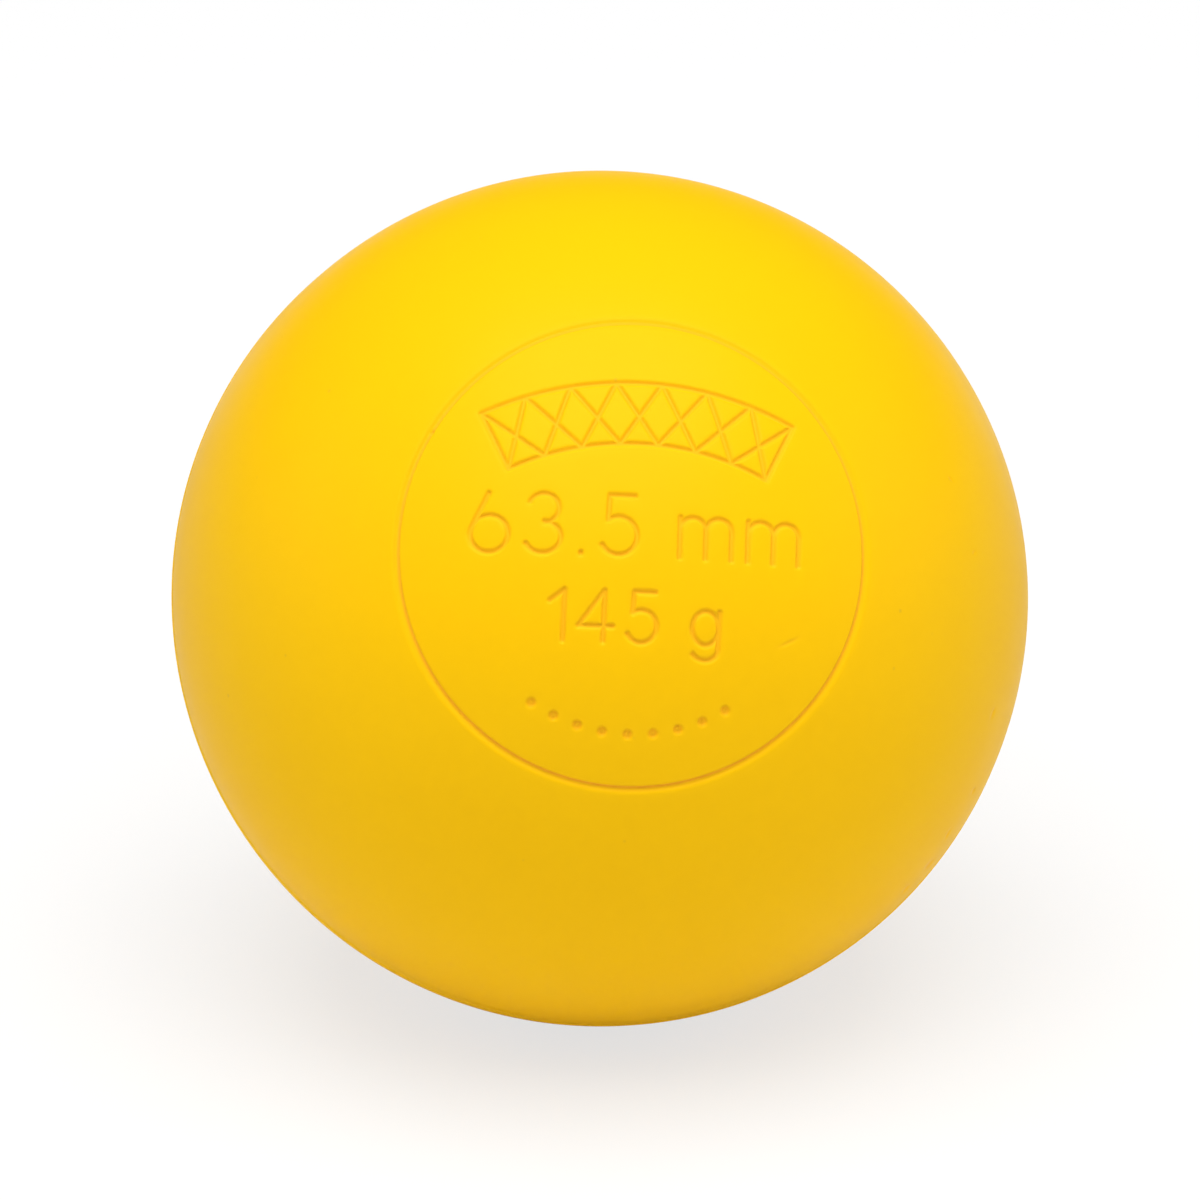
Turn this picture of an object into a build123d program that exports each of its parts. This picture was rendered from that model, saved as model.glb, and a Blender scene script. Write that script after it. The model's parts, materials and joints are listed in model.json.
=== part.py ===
from build123d import *
from math import asin, cos, degrees, radians, sin
import os

# Driving dimensions, in millimetres and degrees
ball_diameter = 63.5  # the game's ball is 197 to 203 mm round
cover_thickness = 8.0  # rubber between the core and the outside
stamp_diameter = 33.7  # the stamped disc, measured along the bottom of its ring groove
stamp_depth = 0.12  # the disc's face lies this far below the ball's
stamp_lift = 30.0  # the stamp faces forward, along -Y, and is tipped up by this angle
groove_width = 0.6
groove_depth = 0.24  # below the ball's face
groove_lip_radius = 0.12  # the mould's ridge is blunt, so both lips are round
flash_width = 0.6  # the trimmed ridge that the parting line leaves round the ball
flash_height = 0.08

# Sizes that follow from them
ball_radius = ball_diameter / 2
core_radius = ball_radius - cover_thickness
stamp_angle = degrees(asin(stamp_diameter / ball_diameter))  # from the mould axis to the ring
ring_angle = 90 - stamp_angle  # from the parting line to the ring
flash_angle = degrees(asin(flash_width / ball_diameter))  # half the ridge, seen from the centre
stamp_face_radius = ball_radius - stamp_depth
groove_radius = (groove_width**2 / 4 + groove_depth**2) / (2 * groove_depth)
groove_centre_radius = ball_radius - groove_depth + groove_radius

# The mould opens along the stamp's own axis, so the parting line is a great circle square to it
mould = Plane.XY.rotated((90 - stamp_lift, 0, 0))
mould_axis = Axis(mould.origin, mould.z_dir)
front_section = Plane(mould.origin, x_dir=mould.x_dir, z_dir=-mould.y_dir)
rear_section = Plane(mould.origin, x_dir=mould.x_dir, z_dir=mould.y_dir)


def on_circle(radius, angle):
    return radius * cos(radians(angle)), radius * sin(radians(angle))


def cup_section():
    # Half section of a cover cup: parting face, flash ridge, ball face, mould axis, core seat
    flash_crest = (ball_radius + flash_height, 0)
    flash_foot = on_circle(ball_radius, flash_angle)
    with BuildSketch() as section:
        with BuildLine():
            Line((core_radius, 0), flash_crest)
            TangentArc(flash_crest, flash_foot, tangent=(0, 1))
            CenterArc((0, 0), ball_radius, flash_angle, 90 - flash_angle)
            Line((0, ball_radius), (0, core_radius))
            CenterArc((0, 0), core_radius, 0, 90)
        make_face()
    return section.sketch


def stamp_section():
    # All that stands above the disc's face, from the mould axis to the ring
    clear_radius = ball_radius + stamp_depth
    with BuildSketch() as section:
        with BuildLine():
            CenterArc((0, 0), stamp_face_radius, ring_angle, stamp_angle)
            Line((0, stamp_face_radius), (0, clear_radius))
            CenterArc((0, 0), clear_radius, ring_angle, stamp_angle)
            Line(on_circle(clear_radius, ring_angle), on_circle(stamp_face_radius, ring_angle))
        make_face()
    return section.sketch


# Core: the solid blank that both cups close on
with BuildPart(mould) as core:
    Sphere(core_radius)

# Stamped cover: a cup with a sunk disc and the disc's ring groove, both lips rounded
with BuildPart() as stamped_cover:
    with BuildSketch(front_section) as stamped_section:
        add(cup_section())
        add(stamp_section(), mode=Mode.SUBTRACT)
        with PolarLocations(groove_centre_radius, 1, start_angle=ring_angle):
            Circle(groove_radius, mode=Mode.SUBTRACT)
        groove_lips = stamped_section.vertices(Select.LAST)
        fillet(groove_lips, groove_lip_radius)
    revolve(axis=mould_axis)

# Plain cover: the same cup, facing the other way
with BuildPart() as plain_cover:
    with BuildSketch(rear_section):
        add(cup_section())
    revolve(axis=mould_axis)

os.makedirs("parts", exist_ok=True)
core.part.label = "core"
export_step(core.part, "parts/core.step")
stamped_cover.part.label = "stamped_cover"
export_step(stamped_cover.part, "parts/stamped_cover.step")
plain_cover.part.label = "plain_cover"
export_step(plain_cover.part, "parts/plain_cover.step")

for piece in (core, stamped_cover, plain_cover):
    print(f"{piece.part.label}: {piece.part.volume / 1000:.3f} cm3")
print("ok")
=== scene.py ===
import json
import math

import bmesh
import bpy
from mathutils import Matrix, Vector
from mathutils.kdtree import KDTree


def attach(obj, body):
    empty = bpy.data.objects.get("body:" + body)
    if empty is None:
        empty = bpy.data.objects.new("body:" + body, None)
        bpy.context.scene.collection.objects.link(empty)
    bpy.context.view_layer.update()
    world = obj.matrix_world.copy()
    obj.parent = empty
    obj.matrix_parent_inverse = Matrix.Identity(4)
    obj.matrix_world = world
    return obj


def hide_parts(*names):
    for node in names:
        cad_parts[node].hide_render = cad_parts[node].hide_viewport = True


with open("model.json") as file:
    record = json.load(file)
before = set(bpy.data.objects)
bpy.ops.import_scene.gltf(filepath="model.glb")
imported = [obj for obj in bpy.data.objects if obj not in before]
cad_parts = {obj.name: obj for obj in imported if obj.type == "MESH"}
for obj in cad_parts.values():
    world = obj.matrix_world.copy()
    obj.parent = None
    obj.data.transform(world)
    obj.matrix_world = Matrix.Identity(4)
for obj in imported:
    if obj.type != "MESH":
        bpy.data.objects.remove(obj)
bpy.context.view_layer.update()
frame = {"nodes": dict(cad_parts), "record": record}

millimetre = 0.001  # pieces are shaped in millimetres about the mould axis, then turned and scaled once

ball = {
    "radius": frame["record"]["mounts"][0]["dims"]["r_mm"],
    "wall": 8.0,  # cover rubber between the outside and the core
    "stampLift": 30.0,  # the mould axis faces -Y, tipped up by this many degrees
}
mouldTurn = Matrix.Rotation(math.radians(90 - ball["stampLift"]), 4, "X")
mouldToPart = mouldTurn @ Matrix.Scale(millimetre, 4)

# Camera: the photograph's view, from a little left of the stamp and a little below its axis
view = {
    "photoSize": 1200,
    "ballCentre": (600.1, 598.5),  # photograph pixels
    "ballEdge": 428.0,  # outline radius, photograph pixels
    "azimuth": -5.5,
    "elevation": 23.45,
    "distance": 0.8,
    "sensor": 36.0,
    "clip": (0.01, 20.0),
}


def direction(azimuth, elevation):
    # azimuth 0 is the -Y side, and +X is at 90 degrees
    turn = math.radians(azimuth)
    lift = math.radians(elevation)
    return Vector((math.sin(turn) * math.cos(lift), -math.cos(turn) * math.cos(lift), math.sin(lift)))


def tangentPerPixel():
    edge = math.asin(ball["radius"] * millimetre / view["distance"])
    return math.tan(edge) / view["ballEdge"]


def makeCamera():
    data = bpy.data.cameras.new("photoCamera")
    camera = bpy.data.objects.new("photoCamera", data)
    bpy.context.scene.collection.objects.link(camera)
    back = direction(view["azimuth"], view["elevation"])
    size = view["photoSize"]
    data.sensor_width = view["sensor"]
    data.lens = view["sensor"] / (size * tangentPerPixel())
    data.shift_x = (size / 2 - view["ballCentre"][0]) / size
    data.shift_y = (view["ballCentre"][1] - size / 2) / size
    data.clip_start, data.clip_end = view["clip"]
    camera.location = back * view["distance"]
    camera.rotation_mode = "QUATERNION"
    camera.rotation_quaternion = back.to_track_quat("Z", "Y")
    bpy.context.scene.camera = camera
    print("camera set", round(data.lens, 1), "mm lens")
    return camera


def photoPoint(pixel):
    # where the line of sight through a photograph pixel meets the ball, in mould millimetres
    step = tangentPerPixel()
    across = (pixel[0] - view["ballCentre"][0]) * step
    up = (view["ballCentre"][1] - pixel[1]) * step
    look = camera.rotation_quaternion @ Vector((across, up, -1)).normalized()
    start = camera.location
    radius = ball["radius"] * millimetre
    middle = -look.dot(start)
    reach = middle - math.sqrt(middle ** 2 - start.length_squared + radius ** 2)
    return mouldToPart.inverted() @ (start + look * reach)


# Stamp: generic marks, drawn as single round-ended strokes inside the ring
stamp = {
    "ringRadius": 16.85,
    "wallHalf": 0.12,  # from the ring's bottom to half way up to the disc
    "wallDepth": 0.17,  # the ring's bottom lies this far below the disc, at the ring's foot
    "rampHalf": 0.30,  # from the ring's bottom to half way up to the ball's face
    "discDepth": 0.10,  # the disc lies this far below the ball's face, at the ring's foot
    "topPress": 0.65,  # the stamp leans: at the ring's top it goes this much as deep as at its foot
    "strokeHalf": 0.165,  # from a stroke's bottom to half its depth
    "strokeDepth": 0.21,
    "strokeShade": 0.5,  # painted shade: a stroke's bottom gets this share of the ring's painted crease shade
    "turn": -4.7,  # the rows run slightly downhill to the right
    "arcStep": 2.5,  # degrees between the corners of a drawn arc
    "pitch": 0.03,  # between the points that stand for a stroke
    "finest": 0.065,  # face size in the strokes
    "splitFrom": 1.5,  # a face is halved while its longest side is this many times that size
    "cornerShare": 0.6,  # from a face's middle to its corners, as a share of its longest side
    "fineReach": 0.28,  # the finest faces reach this far from the middle of a stroke
    "lipReach": 0.54,  # faces of twice that size reach this far
    "rows": [
        {"text": "63.5 mm", "height": 4.3, "base": -0.6},
        {"text": "145 g", "height": 3.6, "base": -6.8},
    ],
    "letterGap": 0.28,
    "band": {"centre": -14.0, "inner": 21.6, "outer": 26.2, "halfAngle": 25.5, "cells": 7},
    "dots": {"count": 9, "radius": 13.2, "step": 8.0, "size": 0.16},
}


def arc(centreX, centreY, radiusX, radiusY, start, end):
    count = max(2, round(abs(end - start) / stamp["arcStep"]))
    angles = [math.radians(start + (end - start) * i / count) for i in range(count + 1)]
    return [(centreX + radiusX * math.cos(a), centreY + radiusY * math.sin(a)) for a in angles]


# Each sign: its width and its strokes, on a cap height of 1
signs = {
    "1": (0.34, [[(0.04, 0.78), (0.32, 1.0), (0.32, 0.0)]]),
    "3": (0.60, [arc(0.30, 0.755, 0.25, 0.245, 155, -85), arc(0.29, 0.265, 0.30, 0.265, 85, -155)]),
    "4": (0.68, [[(0.50, 0.0), (0.50, 1.0), (0.0, 0.30), (0.68, 0.30)]]),
    "5": (0.60, [[(0.55, 1.0), (0.13, 1.0)] + arc(0.29, 0.32, 0.31, 0.32, 125, -150)]),
    "6": (0.62, [[(0.29, 1.0)] + arc(0.31, 0.31, 0.31, 0.31, 155, 515)]),
    "m": (0.88, [
        [(0.0, 0.68), (0.0, 0.0)],
        arc(0.22, 0.46, 0.22, 0.22, 180, 0) + [(0.44, 0.0)],
        arc(0.66, 0.46, 0.22, 0.22, 180, 0) + [(0.88, 0.0)],
    ]),
    "g": (0.54, [
        arc(0.27, 0.35, 0.27, 0.33, 0, 360),
        [(0.54, 0.68)] + arc(0.27, -0.06, 0.27, 0.22, 0, -150),
    ]),
    ".": (0.10, [[(0.05, 0.0), (0.05, 0.02)]]),
    " ": (0.16, []),
}


def rowStrokes(row):
    widths = [signs[letter][0] for letter in row["text"]]
    total = sum(widths) + stamp["letterGap"] * (len(widths) - 1)
    left = -total / 2
    strokes = []
    for letter, width in zip(row["text"], widths):
        for stroke in signs[letter][1]:
            placed = [(left + x, y) for x, y in stroke]
            strokes.append([(x * row["height"], row["base"] + y * row["height"]) for x, y in placed])
        left += width + stamp["letterGap"]
    return strokes


def bandStrokes():
    # an arched laced band: two rails, two ends and a pair of crossing zigzags
    band = stamp["band"]
    low = 90 - band["halfAngle"]
    high = 90 + band["halfAngle"]
    radii = (band["inner"], band["outer"])
    rails = [arc(0, band["centre"], radius, radius, low, high) for radius in radii]
    ends = [[rails[0][i], rails[1][i]] for i in (0, -1)]
    zigzags = []
    for offset in (0, 1):
        corners = []
        for i in range(band["cells"] + 1):
            angle = math.radians(low + (high - low) * i / band["cells"])
            radius = radii[(i + offset) % 2]
            corners.append((radius * math.cos(angle), band["centre"] + radius * math.sin(angle)))
        zigzags.append(corners)
    return rails + ends + zigzags


def dotStrokes():
    # a row of dots along the ring's lower side
    dots = stamp["dots"]
    strokes = []
    for i in range(dots["count"]):
        angle = math.radians(270 + (i - (dots["count"] - 1) / 2) * dots["step"])
        x = dots["radius"] * math.cos(angle)
        y = dots["radius"] * math.sin(angle)
        strokes.append(arc(x, y, dots["size"], dots["size"], 0, 360))
    return strokes


def strokePoints(strokes):
    points = []
    turn = Matrix.Rotation(math.radians(stamp["turn"]), 2)
    for stroke in strokes:
        for start, end in zip(stroke, stroke[1:]):
            start = Vector(start)
            run = Vector(end) - start
            count = max(1, math.ceil(run.length / stamp["pitch"]))
            for i in range(count + 1):
                flat = turn @ (start + run * i / count)
                height = math.sqrt(ball["radius"] ** 2 - flat.length_squared)
                points.append(Vector((flat.x, flat.y, height)))
    return points


def treeOf(points):
    tree = KDTree(len(points))
    for i, point in enumerate(points):
        tree.insert(point, i)
    tree.balance()
    return tree


# Covers: two cups, spun about the mould axis, that meet at a trimmed flash ridge
cover = {
    "ringSides": 256,
    "loopGap": 0.8,  # between plain rings
    "fineGap": 0.06,  # between rings at the ridge
    "discEdge": 0.6,  # from the ring in to the edge of the disc's grid
    "grooveRings": [(-0.24, 0.12), (0.42, 0.035), (0.9, 0.1)],  # out to here, this far apart
    "flashHalfWidth": 0.30,
    "flashHeight": 0.08,
    "ridgeReach": 2,  # fine rings reach this many half widths from the parting line
    "groundReach": 3,  # and the ground band this many
    "seatRings": 16,
    "mergeGap": 0.01,  # points nearer than this are one
    "sharpFrom": 50,  # degrees between the faces of a sharp edge
    "flatFrom": 165,  # degrees; a corner this wide lies on a straight side of its face
}

# Small marks of use, each drawn between two points of the photograph
nicks = [
    {"from": (991, 717), "to": (995, 710), "halfWidth": 0.30, "depth": 0.08},
    {"from": (972, 794), "to": (975, 788), "halfWidth": 0.40, "depth": 0.08},
    {"from": (946, 836), "to": (950, 832), "halfWidth": 0.45, "depth": 0.08},
    {"from": (926, 869), "to": (933, 860), "halfWidth": 0.70, "depth": 0.10},
    {"from": (903, 892), "to": (909, 886), "halfWidth": 0.50, "depth": 0.08},
    {"from": (781, 647), "to": (798, 639), "halfWidth": 0.13, "depth": 0.06},
    {"from": (430, 432), "to": (433, 431), "halfWidth": 0.13, "depth": 0.10},
    {"from": (949, 477), "to": (953, 481), "halfWidth": 0.11, "depth": 0.06},
    {"from": (973, 553), "to": (976, 552), "halfWidth": 0.12, "depth": 0.05},
]
nickShares = (-0.7, 0, 0.7)  # where a nick gets fine faces, in half lengths and half widths
nickReach = 4  # a nick has faded out this many half lengths and half widths away


def onBall(polar, around):
    radius = ball["radius"]
    flat = radius * math.sin(polar)
    return Vector((flat * math.cos(around), flat * math.sin(around), radius * math.cos(polar)))


def ringPolar():
    return math.asin(stamp["ringRadius"] / ball["radius"])


def spreadAngles(start, end, gap):
    count = max(1, round((end - start) * ball["radius"] / gap))
    return [start + (end - start) * i / count for i in range(1, count + 1)]


def ringAngles(stamped):
    # polar angles of the rings, from the disc's edge to the parting line
    radius = ball["radius"]
    first = ringPolar() - cover["discEdge"] / radius
    ridge = math.pi / 2 - cover["ridgeReach"] * cover["flashHalfWidth"] / radius
    angles = [first]
    if stamped:
        for reach, gap in cover["grooveRings"]:
            angles += spreadAngles(angles[-1], ringPolar() + reach / radius, gap)
    angles += spreadAngles(angles[-1], ridge, cover["loopGap"])
    angles += spreadAngles(ridge, math.pi / 2, cover["fineGap"])
    return angles


def addDisc(bm, edgeAngle):
    # a square grid drawn out to a round cap, whose edge has the rings' own points
    cells = cover["ringSides"] // 4
    made = bmesh.ops.create_grid(bm, x_segments=cells, y_segments=cells, size=1)
    for vert in made["verts"]:
        x, y = vert.co.x, vert.co.y
        reach = max(abs(x), abs(y))
        if reach == 0:
            around = 0
        elif abs(x) >= abs(y):
            around = math.pi / 4 * y / x + (math.pi if x < 0 else 0)
        else:
            around = math.pi / 2 - math.pi / 4 * x / y + (math.pi if y < 0 else 0)
        vert.co = onBall(reach * edgeAngle, around)


def addRings(bm, angles):
    outline = [bm.verts.new(onBall(angle, 0)) for angle in angles]
    edges = [bm.edges.new(pair) for pair in zip(outline, outline[1:])]
    bmesh.ops.spin(
        bm, geom=outline + edges, cent=(0, 0, 0), axis=(0, 0, 1), dvec=(0, 0, 0),
        angle=2 * math.pi, steps=cover["ringSides"], use_merge=True, use_duplicate=False,
    )


def cutFlatCorners(bm):
    # a face with a corner on a straight side is cut there, so that no sliver is left
    flat = math.radians(cover["flatFrom"])
    faces = [face for face in bm.faces if any(loop.calc_angle() > flat for loop in face.loops)]
    bmesh.ops.triangulate(bm, faces=faces, quad_method="BEAUTY", ngon_method="BEAUTY")


def refineNear(bm, tree):
    # halves the faces along the marks: finest in the grooves, half as fine on their lips
    fine = stamp["finest"] * stamp["splitFrom"]
    while True:
        split = set()
        for face in bm.faces:
            longest = max(edge.calc_length() for edge in face.edges)
            if longest > fine:
                gap = tree.find(face.calc_center_median())[2] - longest * stamp["cornerShare"]
                if gap < stamp["fineReach"] or (gap < stamp["lipReach"] and longest > 2 * fine):
                    split.update(face.edges)
        if not split:
            return
        bmesh.ops.subdivide_edges(bm, edges=list(split), cuts=1, use_grid_fill=True)
        for vert in bm.verts:
            vert.co = vert.co.normalized() * ball["radius"]
        cutFlatCorners(bm)


def grooveShape(share):
    # a groove with a rounded bottom and soft lips: 1 at its bottom, a half at a share of 1
    return 1 / (1 + share ** 4)


def nickFrames():
    frames = []
    for nick in nicks:
        start = photoPoint(nick["from"])
        end = photoPoint(nick["to"])
        along = (end - start).normalized()
        frames.append({
            "middle": (start + end) / 2,
            "along": along,
            "across": start.normalized().cross(along),
            "halfLength": (end - start).length / 2,
            "halfWidth": nick["halfWidth"],
            "depth": nick["depth"],
        })
    return frames


def nickPoints(frames):
    points = []
    for nick in frames:
        for alongShare in nickShares:
            for acrossShare in nickShares:
                step = nick["along"] * nick["halfLength"] * alongShare
                step += nick["across"] * nick["halfWidth"] * acrossShare
                points.append(nick["middle"] + step)
    return points


def nickDepth(point, frames):
    depth = 0.0
    for nick in frames:
        run = point - nick["middle"]
        if run.length < nickReach * (nick["halfLength"] + nick["halfWidth"]):
            alongShare = run.dot(nick["along"]) / nick["halfLength"]
            acrossShare = run.dot(nick["across"]) / nick["halfWidth"]
            depth = max(depth, nick["depth"] * grooveShape(math.hypot(alongShare, acrossShare)))
    return depth


def pressShare(out):
    # 1 at the ring's foot, and less towards its top
    rise = (1 + out.y * ball["radius"] / stamp["ringRadius"]) / 2
    return 1 - (1 - stamp["topPress"]) * rise


def stampDepth(offRing, gap, press):
    # how deep the stamp lies and how much painted shade its grooves get; the ring has a wall inside and
    # a long ramp outside
    ring = press * grooveShape(offRing / stamp["wallHalf"])
    disc = press * stamp["discDepth"]
    if offRing > 0:
        ramp = grooveShape(offRing / stamp["rampHalf"])
        return (disc + press * stamp["wallDepth"]) * ramp, ring
    stroke = grooveShape(gap / stamp["strokeHalf"])
    groove = max(stamp["wallDepth"] * ring, stamp["strokeDepth"] * stroke)
    return disc + groove, max(ring, stamp["strokeShade"] * stroke)


def pressMarks(bm, strokeTree, frames):
    # sinks the ring, the strokes and the nicks, raises the flash ridge, and stores the painted shade of
    # the grooves and nicks
    recessShade = bm.verts.layers.float.new("recessShade")
    flash = bm.verts.layers.float.new("flash")
    radius = ball["radius"]
    for vert in bm.verts:
        out = vert.co.normalized()
        polar = math.acos(max(-1.0, min(1.0, out.z)))
        depth = 0.0
        paintedShade = 0.0
        if strokeTree:
            offRing = (polar - ringPolar()) * radius
            depth, paintedShade = stampDepth(offRing, strokeTree.find(vert.co)[2], pressShare(out))
        nick = nickDepth(vert.co, frames)
        offParting = abs(math.pi / 2 - polar) * radius / cover["flashHalfWidth"]
        rise = cover["flashHeight"] * (1 - offParting ** 2) if offParting < 1 else 0.0
        # painted shade: the grooves' bottoms and the nicks are marked to be tinted darker orange,
        # standing in for their shade
        vert[recessShade] = max(paintedShade, nick / stamp["strokeDepth"])
        vert[flash] = max(0.0, 1 - offParting / cover["groundReach"])
        vert.co = out * (radius - depth - nick + rise)


def closeCup(bm):
    # the parting face and the core's seat, grown inwards from the rim
    seat = ball["radius"] - ball["wall"]
    rim = [edge for edge in bm.edges if edge.is_boundary]
    for i in range(cover["seatRings"]):
        lift = math.pi / 2 * i / cover["seatRings"]
        grown = bmesh.ops.extrude_edge_only(bm, edges=rim)["geom"]
        verts = [part for part in grown if isinstance(part, bmesh.types.BMVert)]
        rim = [part for part in grown if isinstance(part, bmesh.types.BMEdge) and part.is_boundary]
        for vert in verts:
            flat = vert.co.xy.normalized() * seat * math.cos(lift)
            vert.co = (flat.x, flat.y, seat * math.sin(lift))
    bmesh.ops.pointmerge(bm, verts=verts, merge_co=(0, 0, seat))


def finishPiece(bm, name, node, matrix):
    bmesh.ops.transform(bm, matrix=matrix, verts=bm.verts)
    bmesh.ops.recalc_face_normals(bm, faces=bm.faces)
    for face in bm.faces:
        face.smooth = True
    for edge in bm.edges:
        if edge.is_manifold and edge.calc_face_angle() > math.radians(cover["sharpFrom"]):
            edge.smooth = False
    mesh = bpy.data.meshes.new(name)
    bm.to_mesh(mesh)
    bm.free()
    mesh.calc_loop_triangles()
    piece = bpy.data.objects.new(name, mesh)
    bpy.context.scene.collection.objects.link(piece)
    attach(piece, "root")
    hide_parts(node)
    print(name, "has", len(mesh.loop_triangles), "triangles")
    return piece


def makeCover(name, node, stamped, matrix):
    bm = bmesh.new()
    angles = ringAngles(stamped)
    addDisc(bm, angles[0])
    addRings(bm, angles)
    bmesh.ops.remove_doubles(bm, verts=bm.verts, dist=cover["mergeGap"])
    cutFlatCorners(bm)
    frames = nickFrames() if stamped else []
    strokeTree = None
    if stamped:
        strokes = bandStrokes() + dotStrokes()
        for row in stamp["rows"]:
            strokes += rowStrokes(row)
        points = strokePoints(strokes)
        strokeTree = treeOf(points)
        refineNear(bm, treeOf(points + nickPoints(frames)))
    pressMarks(bm, strokeTree, frames)
    closeCup(bm)
    return finishPiece(bm, name, node, matrix)


# Rubber: a satin yellow skin, with painted orange shade in the stamp's grooves and nicks, a ground band
# at the parting line and a little dirt
rubber = {
    "colour": (0.93, 0.542, 0.003, 1),
    "deepColour": (0.91, 0.515, 0.003, 1),
    # painted shade: the colour the grooves and nicks are tinted towards, and how far
    "recessShadeColour": (0.94, 0.385, 0.03, 1),
    "recessShadeShare": 0.6,
    "groundColour": (0.92, 0.58, 0.06, 1),
    "groundShare": 0.3,
    "dirtColour": (0.80, 0.46, 0.02, 1),
    "roughness": (0.36, 0.44),
    "groundRoughness": 0.6,
    "specular": 0.03,
    "mottleScale": 90.0,
    "grainScale": 2600.0,
    "grainHeight": 0.00003,
    "grainStrength": 0.15,
}

# Core: the blank inside, browner and duller
blank = {
    "colour": (0.72, 0.42, 0.05, 1),
    "deepColour": (0.64, 0.36, 0.04, 1),
    "roughness": (0.68, 0.82),
    "specular": 0.1,
    "mottleScale": 60.0,
    "grainScale": 900.0,
    "grainHeight": 0.00008,
    "grainStrength": 0.4,
}

# Mottling: slow changes of tone and roughness in the rubber
mottling = {"detail": 4.0, "roughness": 0.6, "range": (0.3, 0.7)}

# Specks: tiny bits of dirt, far apart
specks = {"scale": 250.0, "edge": 0.045, "middle": 0.02, "kept": 0.6}


def addNode(tree, kind, **values):
    node = tree.nodes.new(kind)
    for key, value in values.items():
        setattr(node, key, value)
    return node


def addMix(tree, share, colourA, colourB):
    # colourA comes from a socket or is a plain colour, like colourB
    mix = addNode(tree, "ShaderNodeMix", data_type="RGBA")
    tree.links.new(share, mix.inputs["Factor"])
    if isinstance(colourA, tuple):
        mix.inputs["A"].default_value = colourA
    else:
        tree.links.new(colourA, mix.inputs["A"])
    mix.inputs["B"].default_value = colourB
    return mix.outputs["Result"]


def addRange(tree, value, fromRange, toRange):
    node = addNode(tree, "ShaderNodeMapRange")
    for name, number in zip(("From Min", "From Max", "To Min", "To Max"), fromRange + toRange):
        node.inputs[name].default_value = number
    tree.links.new(value, node.inputs["Value"])
    return node.outputs["Result"]


def addMath(tree, operation, first, second):
    node = addNode(tree, "ShaderNodeMath", operation=operation)
    tree.links.new(first, node.inputs[0])
    tree.links.new(second, node.inputs[1])
    return node.outputs["Value"]


def makeRubberSkin():
    group = bpy.data.node_groups.new("rubberSkin", "ShaderNodeTree")
    for name in ("Mottle Scale", "Grain Scale"):
        group.interface.new_socket(name, in_out="INPUT", socket_type="NodeSocketFloat")
    for name in ("Mottle", "Grain", "Specks"):
        group.interface.new_socket(name, in_out="OUTPUT", socket_type="NodeSocketFloat")
    links = group.links
    given = addNode(group, "NodeGroupInput")
    made = addNode(group, "NodeGroupOutput")
    place = addNode(group, "ShaderNodeTexCoord")
    mottle = addNode(group, "ShaderNodeTexNoise")
    mottle.inputs["Detail"].default_value = mottling["detail"]
    mottle.inputs["Roughness"].default_value = mottling["roughness"]
    grain = addNode(group, "ShaderNodeTexNoise")
    cells = addNode(group, "ShaderNodeTexVoronoi")
    cells.inputs["Scale"].default_value = specks["scale"]
    for node in (mottle, grain, cells):
        links.new(place.outputs["Object"], node.inputs["Vector"])
    links.new(given.outputs["Mottle Scale"], mottle.inputs["Scale"])
    links.new(given.outputs["Grain Scale"], grain.inputs["Scale"])
    chance = addNode(group, "ShaderNodeSeparateColor")
    links.new(cells.outputs["Color"], chance.inputs["Color"])
    strength = addRange(group, chance.outputs["Red"], (1 - specks["kept"], 1.0), (0.0, 1.0))
    spot = addRange(group, cells.outputs["Distance"], (specks["edge"], specks["middle"]), (0.0, 1.0))
    links.new(mottle.outputs["Fac"], made.inputs["Mottle"])
    links.new(grain.outputs["Fac"], made.inputs["Grain"])
    links.new(addMath(group, "MULTIPLY", spot, strength), made.inputs["Specks"])
    return group


def startRubber(name, skinGroup, values):
    # what the cover and the core share: mottled colour, mottled roughness and grain
    material = bpy.data.materials.new(name)
    material.use_nodes = True
    tree = material.node_tree
    shader = tree.nodes["Principled BSDF"]
    shader.inputs["Specular IOR Level"].default_value = values["specular"]
    skin = addNode(tree, "ShaderNodeGroup", node_tree=skinGroup)
    skin.inputs["Mottle Scale"].default_value = values["mottleScale"]
    skin.inputs["Grain Scale"].default_value = values["grainScale"]
    mottle = skin.outputs["Mottle"]
    tone = addMix(tree, mottle, values["colour"], values["deepColour"])
    rough = addRange(tree, mottle, mottling["range"], values["roughness"])
    bump = addNode(tree, "ShaderNodeBump")
    bump.inputs["Strength"].default_value = values["grainStrength"]
    bump.inputs["Distance"].default_value = values["grainHeight"]
    tree.links.new(skin.outputs["Grain"], bump.inputs["Height"])
    tree.links.new(bump.outputs["Normal"], shader.inputs["Normal"])
    return material, shader, skin, tone, rough


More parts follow.
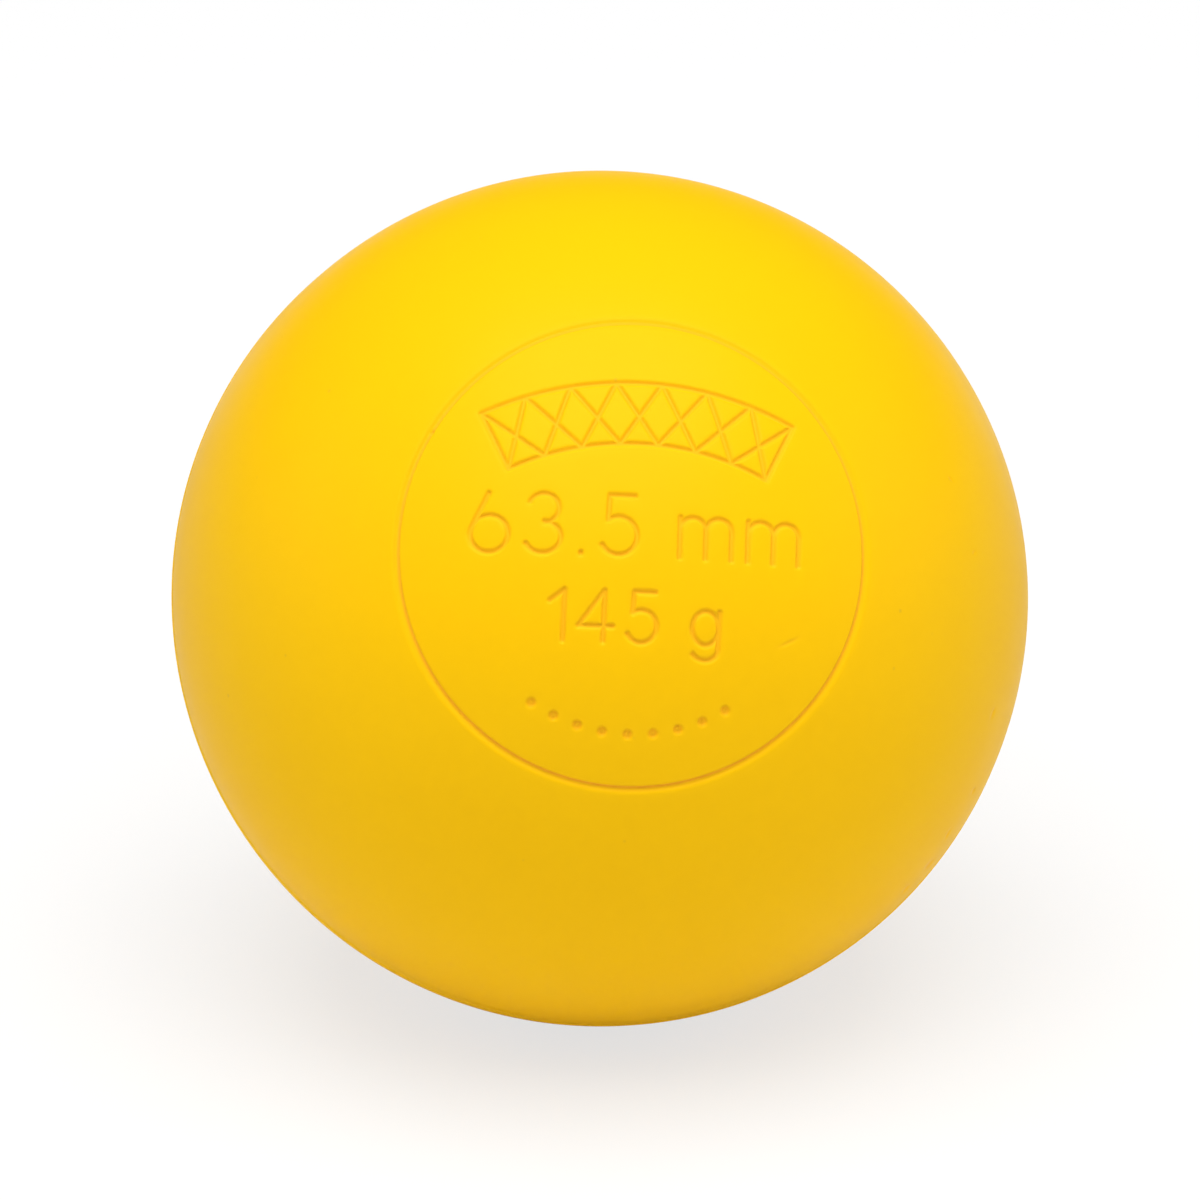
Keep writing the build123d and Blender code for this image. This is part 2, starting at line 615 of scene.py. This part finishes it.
def makeCoverRubber(skinGroup):
    material, shader, skin, tone, rough = startRubber("coverRubber", skinGroup, rubber)
    tree = material.node_tree
    links = tree.links
    # painted shade: the grooves and nicks are tinted darker orange by their stored shade
    recessShade = addNode(tree, "ShaderNodeAttribute", attribute_name="recessShade").outputs["Fac"]
    flash = addNode(tree, "ShaderNodeAttribute", attribute_name="flash").outputs["Fac"]
    shadeShare = addRange(tree, recessShade, (0.0, 1.0), (0.0, rubber["recessShadeShare"]))
    shadedTone = addMix(tree, shadeShare, tone, rubber["recessShadeColour"])
    groundShare = addRange(tree, flash, (0.0, 1.0), (0.0, rubber["groundShare"]))
    ground = addMix(tree, groundShare, shadedTone, rubber["groundColour"])
    dirty = addMix(tree, skin.outputs["Specks"], ground, rubber["dirtColour"])
    links.new(dirty, shader.inputs["Base Color"])
    dull = addNode(tree, "ShaderNodeMix", data_type="FLOAT")
    dull.inputs["B"].default_value = rubber["groundRoughness"]
    links.new(rough, dull.inputs["A"])
    links.new(flash, dull.inputs["Factor"])
    links.new(dull.outputs["Result"], shader.inputs["Roughness"])
    print("cover rubber made")
    return material


def makeCoreRubber(skinGroup):
    material, shader, _, tone, rough = startRubber("coreRubber", skinGroup, blank)
    links = material.node_tree.links
    links.new(tone, shader.inputs["Base Color"])
    links.new(rough, shader.inputs["Roughness"])
    print("core rubber made")
    return material


# Studio: a pale floor under one large soft lamp, with a weak panel at each side
studio = {
    "floorSize": 8.0,
    "floorColour": (0.87, 0.87, 0.87, 1),
    "floorRoughness": 0.9,
    "floorLift": 0.72,  # how far the floor is drawn towards white, for the camera and reflections alone
    "liftEdge": (0.30, 0.60),  # the lift fades out between these distances from the ball
    "mirrorEdge": (0.035, 0.06),  # reflections keep the shadow nearer than this
    "worldLevel": 0.06,
    "lampDistance": 1.4,
    "lamps": [
        # turn is counted from the camera's side; level is what a white surface facing the lamp shows
        {"name": "softbox", "turn": 0, "elevation": 75.0, "size": 1.5, "level": 1.19},
        {"name": "leftPanel", "turn": -90, "elevation": 15.0, "size": 1.0, "level": 0.145},
        {"name": "rightPanel", "turn": 90, "elevation": 15.0, "size": 1.0, "level": 0.17},
    ],
}


def makePaleFloor():
    material = bpy.data.materials.new("paleFloor")
    material.use_nodes = True
    tree = material.node_tree
    links = tree.links
    shader = tree.nodes["Principled BSDF"]
    shader.inputs["Base Color"].default_value = studio["floorColour"]
    shader.inputs["Roughness"].default_value = studio["floorRoughness"]
    shader.inputs["Specular IOR Level"].default_value = 0.0
    white = addNode(tree, "ShaderNodeEmission")
    path = addNode(tree, "ShaderNodeLightPath").outputs
    place = addNode(tree, "ShaderNodeTexCoord")
    reach = addNode(tree, "ShaderNodeVectorMath", operation="LENGTH")
    links.new(place.outputs["Object"], reach.inputs[0])
    pool = addRange(tree, reach.outputs["Value"], studio["liftEdge"], (studio["floorLift"], 0.0))
    clear = addRange(tree, reach.outputs["Value"], studio["mirrorEdge"], (0.0, 1.0))
    mirrored = addMath(tree, "MAXIMUM", path["Is Glossy Ray"], path["Is Transmission Ray"])
    seen = addMath(tree, "MAXIMUM", path["Is Camera Ray"], addMath(tree, "MULTIPLY", mirrored, clear))
    blend = addNode(tree, "ShaderNodeMixShader")
    links.new(addMath(tree, "MULTIPLY", pool, seen), blend.inputs[0])
    links.new(shader.outputs[0], blend.inputs[1])
    links.new(white.outputs[0], blend.inputs[2])
    links.new(blend.outputs[0], tree.nodes["Material Output"].inputs["Surface"])
    return material


def makeFloor():
    bm = bmesh.new()
    bmesh.ops.create_grid(bm, x_segments=1, y_segments=1, size=studio["floorSize"] / 2)
    bmesh.ops.translate(bm, verts=bm.verts, vec=(0, 0, -ball["radius"] * millimetre))
    mesh = bpy.data.meshes.new("floor")
    bm.to_mesh(mesh)
    bm.free()
    mesh.materials.append(makePaleFloor())
    floor = bpy.data.objects.new("floor", mesh)
    bpy.context.scene.collection.objects.link(floor)


def lampShare(size):
    # how much of a facing surface's view a square lamp fills
    half = size / 2 / studio["lampDistance"]
    lean = half / math.sqrt(1 + half ** 2)
    return 4 / math.pi * lean * math.atan(lean)


def makeLamp(spec):
    data = bpy.data.lights.new(spec["name"], "AREA")
    data.shape = "SQUARE"
    data.size = spec["size"]
    data.energy = spec["level"] / lampShare(spec["size"]) * math.pi * spec["size"] ** 2
    lamp = bpy.data.objects.new(spec["name"], data)
    bpy.context.scene.collection.objects.link(lamp)
    aim = direction(view["azimuth"] + spec["turn"], spec["elevation"])
    lamp.location = aim * studio["lampDistance"]
    lamp.rotation_mode = "QUATERNION"
    lamp.rotation_quaternion = aim.to_track_quat("Z", "Y")
    lamp.visible_camera = False


def makeWorld():
    world = bpy.data.worlds.new("studioWorld")
    bpy.context.scene.world = world
    world.use_nodes = True
    background = world.node_tree.nodes["Background"]
    background.inputs["Color"].default_value = (1, 1, 1, 1)
    background.inputs["Strength"].default_value = studio["worldLevel"]


scene = bpy.context.scene
scene.view_settings.view_transform = "Standard"
camera = makeCamera()
makeFloor()
for spec in studio["lamps"]:
    makeLamp(spec)
makeWorld()
print("studio set")

skinGroup = makeRubberSkin()
coverRubber = makeCoverRubber(skinGroup)
coreRubber = makeCoreRubber(skinGroup)
stampedCover = makeCover("stampedCover", "stamped_cover", True, mouldToPart)
facingBack = mouldToPart @ Matrix.Rotation(math.pi, 4, "X")
plainCover = makeCover("plainCover", "plain_cover", False, facingBack)
for piece in (stampedCover, plainCover):
    piece.data.materials.append(coverRubber)
coreNode = frame["nodes"]["core"]
coreNode.data.materials.clear()
coreNode.data.materials.append(coreRubber)
